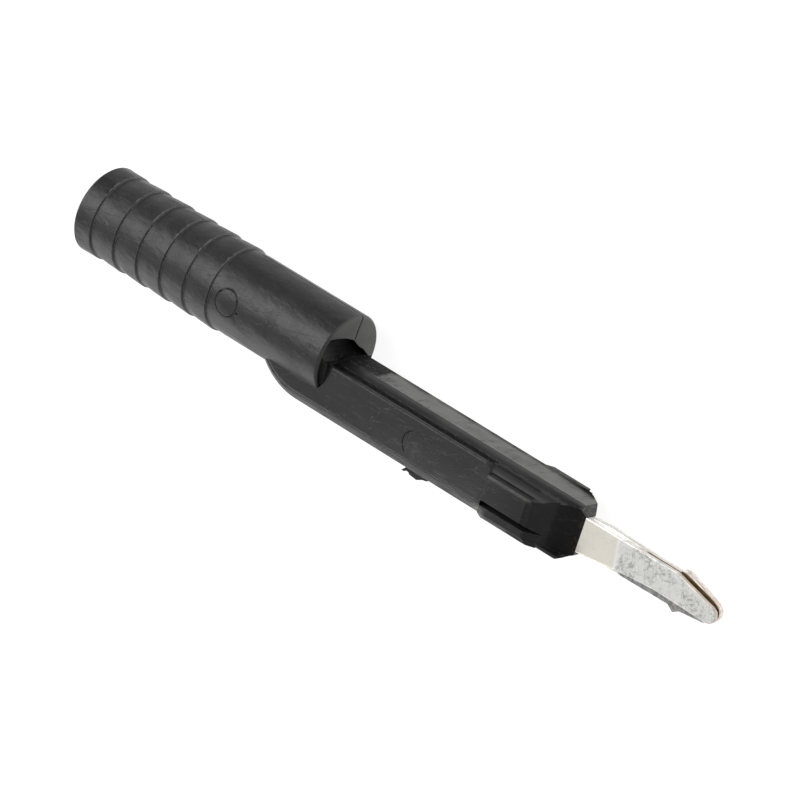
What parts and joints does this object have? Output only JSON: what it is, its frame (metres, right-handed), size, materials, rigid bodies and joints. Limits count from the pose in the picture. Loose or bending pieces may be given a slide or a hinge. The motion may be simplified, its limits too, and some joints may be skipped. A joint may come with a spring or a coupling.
{
  "type": "test plug adapter",
  "caption": "Insulated adapter with a ringed round grip holding a test-plug socket, a flat bar and a forked contact blade that plugs into a terminal block.",
  "frame": {"origin": "centre of the test socket's mouth, on the grip's rear face", "axes": "+X along the socket's axis from its mouth towards the blade, +Y up the bar's height towards its grooved top, +Z out of the bar's near broad side"},
  "size_m": [0.0737, 0.0105, 0.0084],
  "materials": {
    "black_plastic": "moulded black plastic, satin, with fine handling scratches",
    "turned_brass": "turned brass",
    "tinned_copper": "mottled matt tin plating, bare copper colour on the cut edges"
  },
  "bodies": {
    "root": {"housing": "black_plastic", "socket_sleeve": "turned_brass", "near_leaf": "tinned_copper", "far_leaf": "tinned_copper"}
  },
  "joints": []
}
